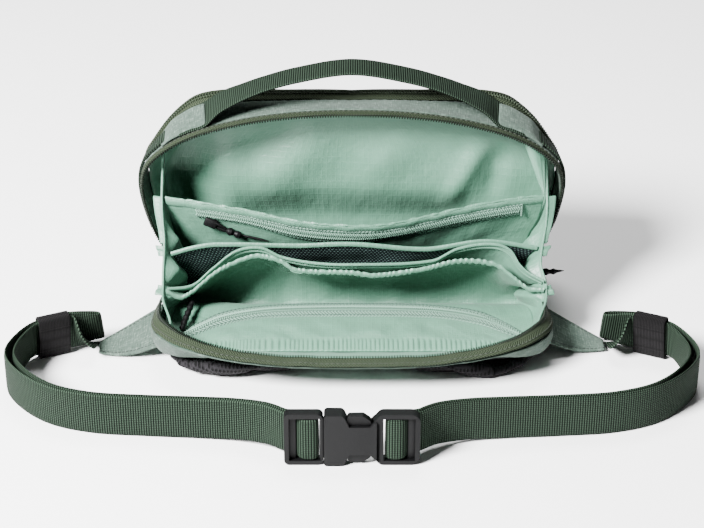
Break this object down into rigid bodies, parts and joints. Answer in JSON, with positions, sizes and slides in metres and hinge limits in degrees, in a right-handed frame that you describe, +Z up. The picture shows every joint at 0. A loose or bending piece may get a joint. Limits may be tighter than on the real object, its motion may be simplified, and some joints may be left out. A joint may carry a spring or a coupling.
{
  "type": "hip pack",
  "caption": "Hip pack standing open, with its back panel laid down as a flap, hanging dividers, a closed front pocket, a top handle and a waist belt with a fastened buckle.",
  "frame": {"origin": "on the floor under the middle of the bottom panel, below the upright lip of the main zip", "axes": "+X to the viewer's right along the pack, +Y away from the wearer to the front pocket, +Z up"},
  "size_m": [0.3918, 0.2448, 0.1493],
  "materials": {
    "heather": "matte heather weave",
    "mint_lining": "soft sheen ripstop lining",
    "olive_tape": "matte zip tape",
    "green_webbing": "ribbed webbing",
    "black_elastic": "ribbed elastic",
    "air_mesh": "open air mesh",
    "dark_mesh": "fine open mesh",
    "black_plastic": "moulded, fine texture"
  },
  "bodies": {
    "root": {"front_panel": "heather", "front_zip": "olive_tape", "top_strip": "heather", "side_panel_left": "heather", "side_panel_right": "heather", "bottom_panel": "heather", "back_panel": "air_mesh", "back_strip": "heather", "back_pad_left": "air_mesh", "back_pad_right": "air_mesh", "main_zip_upper": "olive_tape", "main_zip_lower": "olive_tape", "main_slider": "black_plastic", "far_wall": "mint_lining", "back_lining": "mint_lining", "back_pocket": "mint_lining", "gusset_left": "mint_lining", "gusset_right": "mint_lining", "zip_divider": "mint_lining", "mesh_divider": "dark_mesh", "organizer_panel": "mint_lining", "slip_pocket": "mint_lining", "divider_pull": "black_plastic", "pocket_pull": "black_plastic", "handle": "green_webbing", "handle_patch_left": "heather", "handle_patch_right": "heather", "side_strap_left": "green_webbing", "side_strap_right": "green_webbing", "wing_left": "heather", "wing_right": "heather", "belt_strap_left": "green_webbing", "belt_strap_right": "green_webbing", "keeper_left": "black_elastic", "keeper_right": "black_elastic", "buckle_male": "black_plastic", "buckle_female": "black_plastic"}
  },
  "joints": []
}
